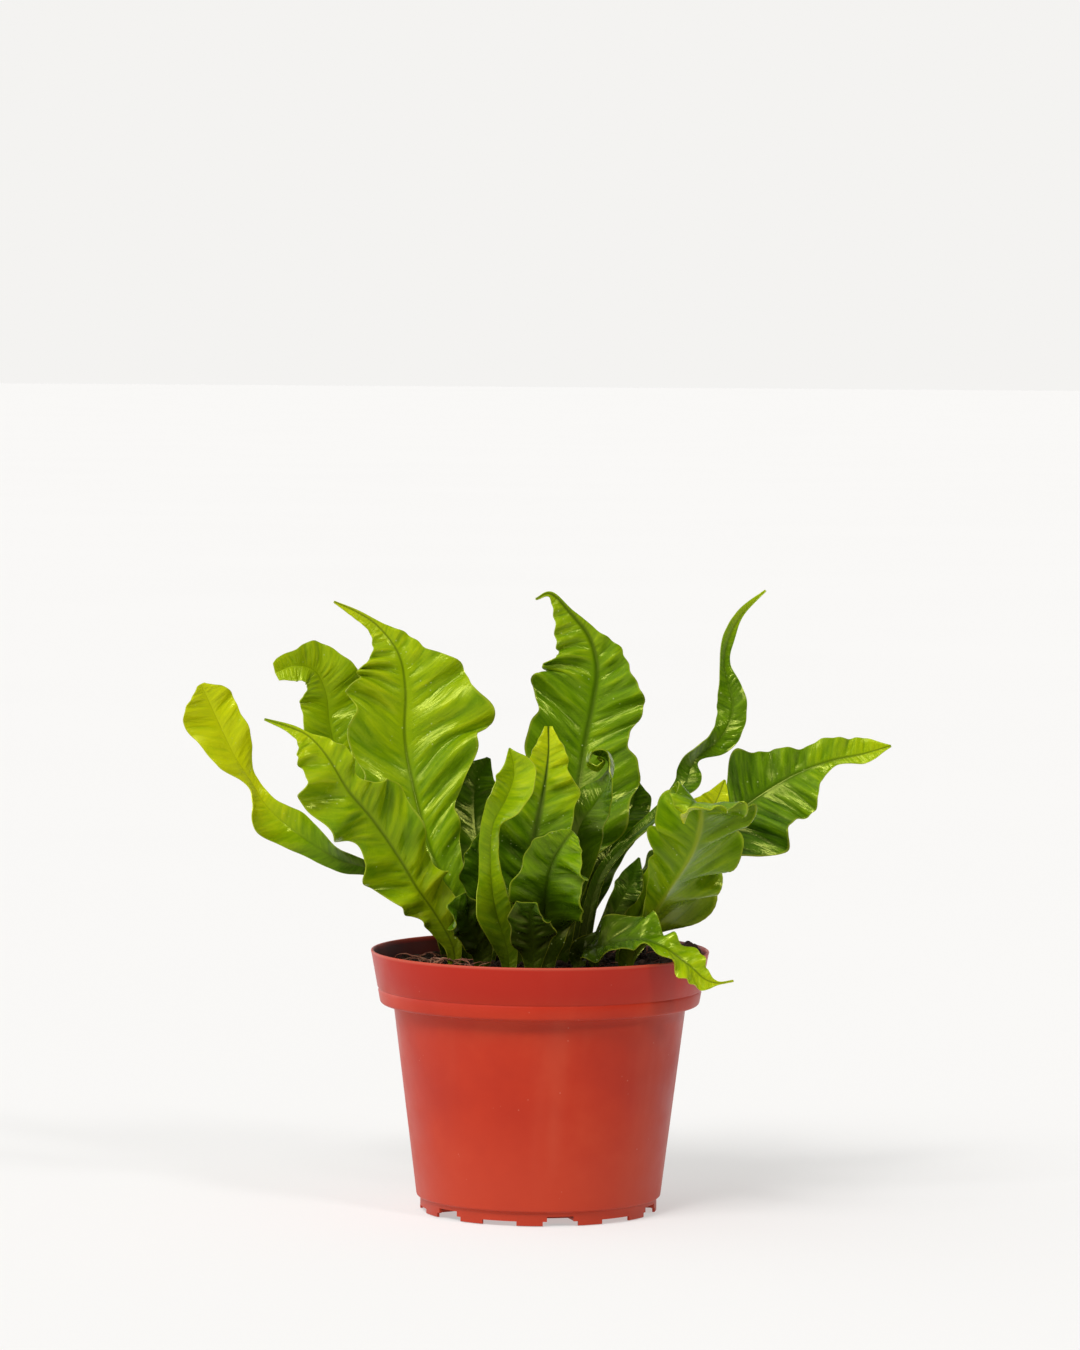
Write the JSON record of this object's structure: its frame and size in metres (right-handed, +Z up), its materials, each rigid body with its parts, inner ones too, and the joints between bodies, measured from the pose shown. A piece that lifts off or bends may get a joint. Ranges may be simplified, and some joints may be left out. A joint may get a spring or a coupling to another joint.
{
  "type": "potted fern",
  "caption": "Potted bird's nest fern with upright waved fronds, one still coiled, growing from peat in a thin round nursery pot with a deep rim band, feet and drain slots.",
  "frame": {"origin": "centre of the bounding box in X and Y, at the level the pot's feet stand on", "axes": "+Z up along the pot's axis, +X to the right of one who looks at the plant's front, and the front looks along -Y"},
  "size_m": [0.3181, 0.1983, 0.2774],
  "materials": {
    "pot": "satin",
    "soil": "rough",
    "frond": "satin"
  },
  "bodies": {
    "root": {"pot": "pot", "soil": "soil", "frond_left_ribbon": "frond", "frond_left_tall": "frond", "frond_left_large": "frond", "frond_left_front": "frond", "frond_left_inner": "frond", "frond_front_folded": "frond", "frond_centre": "frond", "frond_front_low": "frond", "frond_coiled": "frond", "frond_right_tall": "frond", "frond_right_inner": "frond", "frond_right_thin": "frond", "frond_right_long": "frond", "frond_right_hidden": "frond", "frond_right_front": "frond", "frond_over_rim": "frond", "frond_right_small": "frond", "frond_low_left": "frond", "frond_low_front": "frond", "frond_low_middle": "frond", "frond_back_left": "frond", "frond_back": "frond", "frond_back_right": "frond", "frond_back_side": "frond", "frond_back_far_right": "frond"}
  },
  "joints": []
}
